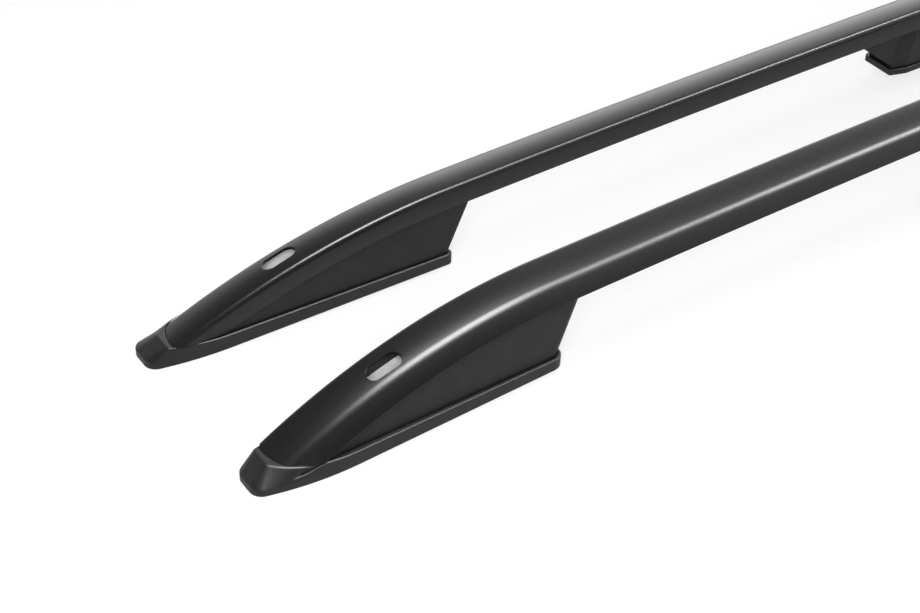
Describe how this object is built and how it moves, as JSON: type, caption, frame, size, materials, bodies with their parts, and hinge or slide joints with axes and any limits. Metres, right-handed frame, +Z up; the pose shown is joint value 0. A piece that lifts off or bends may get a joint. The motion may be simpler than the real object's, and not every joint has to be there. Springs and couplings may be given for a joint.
{
  "type": "roof side rail pair",
  "caption": "Pair of arched hollow roof side rails, bent down at both ends into rubber cups, on tapered end feet and a middle foot, with open bolt access slots.",
  "frame": {"origin": "middle of the pair on the floor that the pads stand on", "axes": "+X towards the rear along the rails, +Y to the right-hand rail, +Z up"},
  "size_m": [1.69, 0.2202, 0.0917],
  "materials": {
    "rail_coat": "satin black powder coat, bare inside",
    "foot": "fine moulded texture",
    "pad": "matte",
    "fastener": "zinc plated"
  },
  "bodies": {
    "root": {"right_rail": "rail_coat", "right_foot_screws": "fastener", "right_middle_foot": "foot", "right_middle_pad": "pad", "right_middle_insert": "fastener", "right_middle_nut_plate": "fastener", "right_middle_bolts": "fastener", "right_front_foot": "foot", "right_front_pad": "pad", "right_front_bush": "fastener", "right_rear_foot": "foot", "right_rear_pad": "pad", "right_rear_bush": "fastener", "left_rail": "rail_coat", "left_foot_screws": "fastener", "left_middle_foot": "foot", "left_middle_pad": "pad", "left_middle_insert": "fastener", "left_middle_nut_plate": "fastener", "left_middle_bolts": "fastener", "left_front_foot": "foot", "left_front_pad": "pad", "left_front_bush": "fastener", "left_rear_foot": "foot", "left_rear_pad": "pad", "left_rear_bush": "fastener"}
  },
  "joints": []
}
